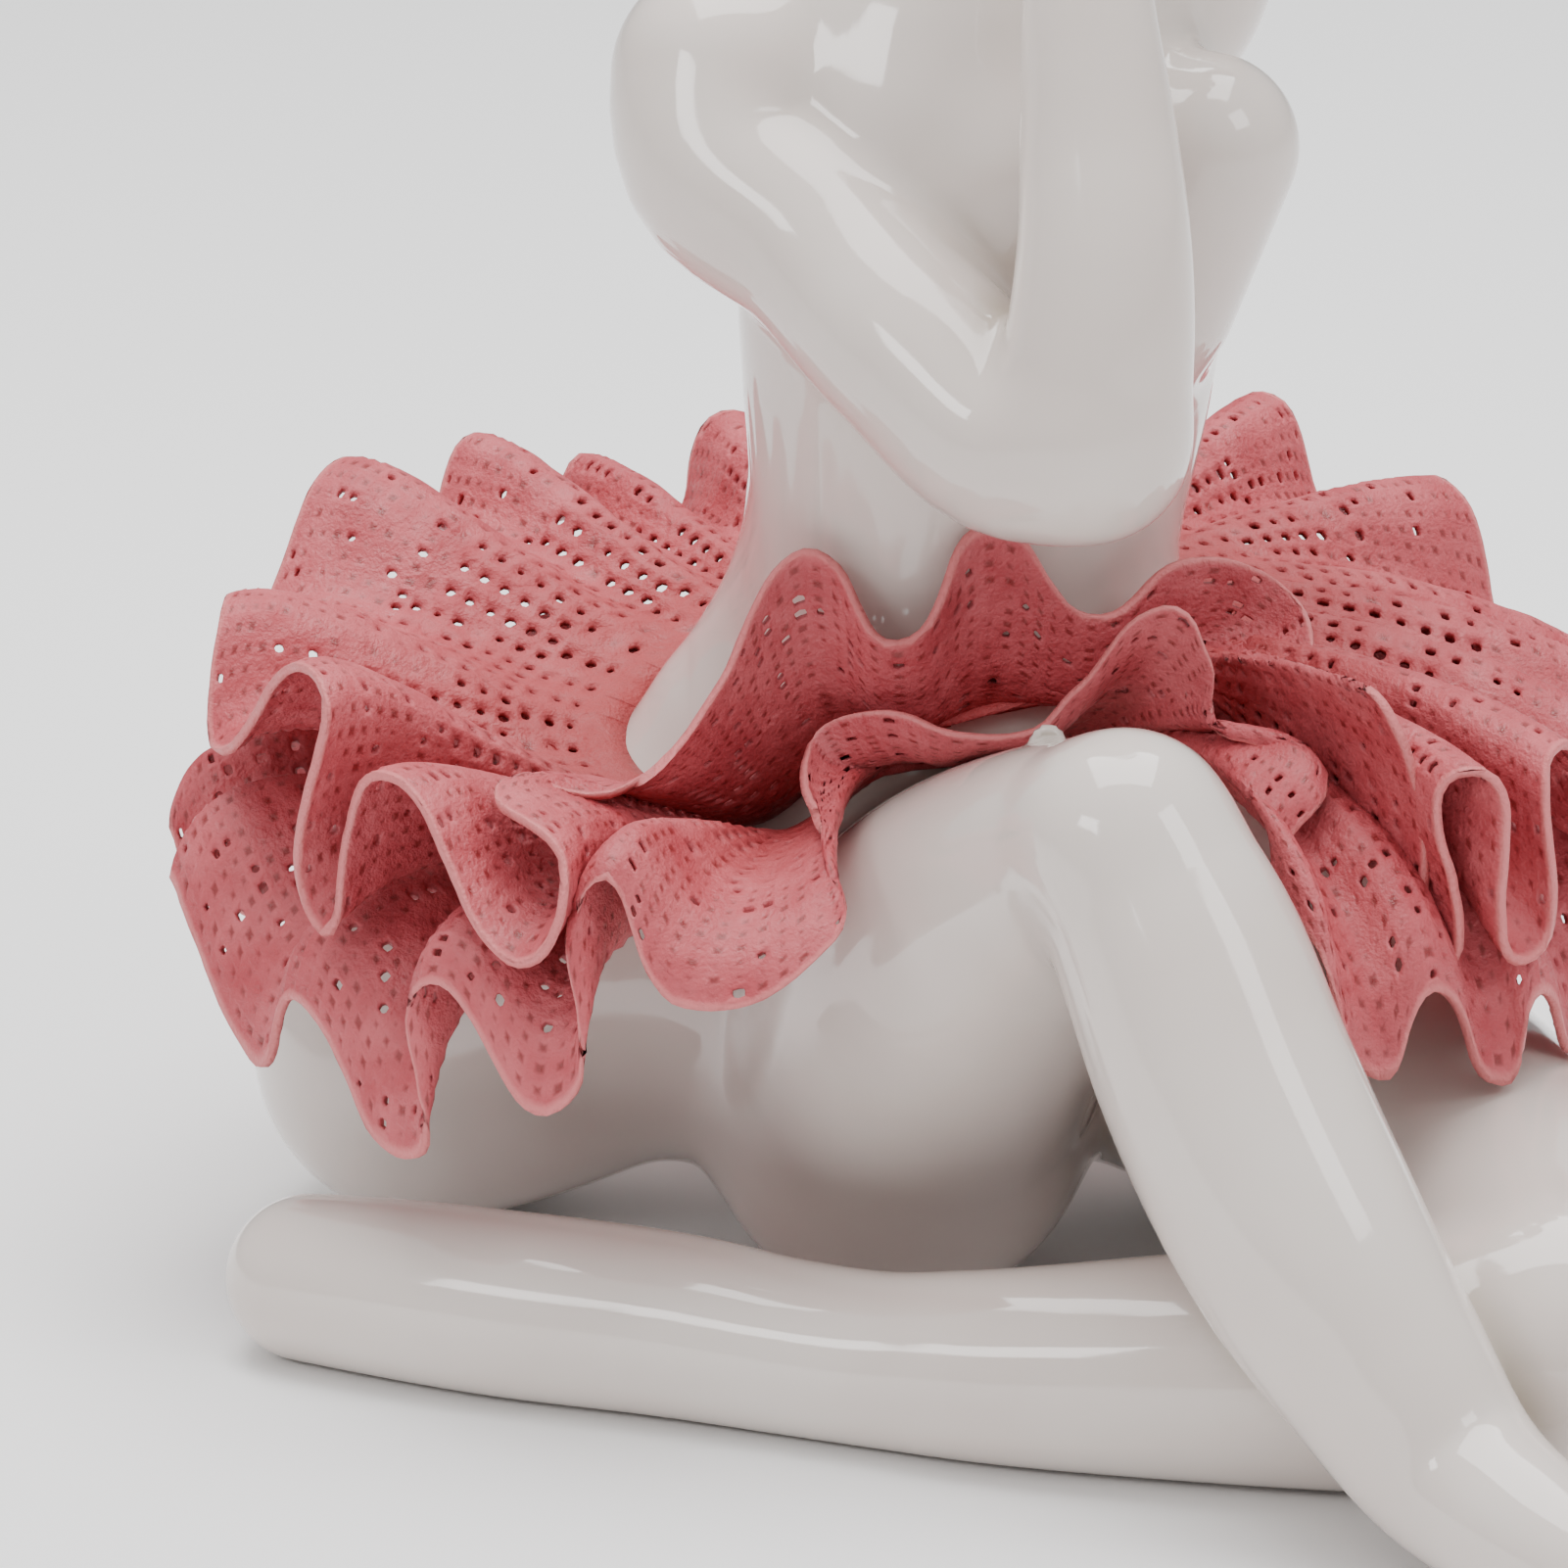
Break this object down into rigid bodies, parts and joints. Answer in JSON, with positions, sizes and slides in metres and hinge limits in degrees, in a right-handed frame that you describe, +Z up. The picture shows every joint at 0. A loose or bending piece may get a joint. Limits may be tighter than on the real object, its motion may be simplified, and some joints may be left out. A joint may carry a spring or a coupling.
{
  "type": "porcelain dancer figurine",
  "caption": "Seated glazed dancer with one knee raised, one leg folded flat, a hand at the chin and an arm over the head, in a ruffled skirt of stiffened lace.",
  "frame": {"origin": "on the floor, in the flat spot under the seat of the figure", "axes": "+Z up, -Y towards the side that the picture shows, with the folded leg across the front and +X at the raised knee's side"},
  "size_m": [0.1069, 0.1339, 0.1423],
  "materials": {
    "glaze": "clear glossy glaze over white porcelain",
    "lace": "matt pink lace porcelain, unglazed"
  },
  "bodies": {
    "root": {"figure": "glaze", "tutu_top_ruffle": "lace", "tutu_lower_ruffle": "lace"}
  },
  "joints": []
}
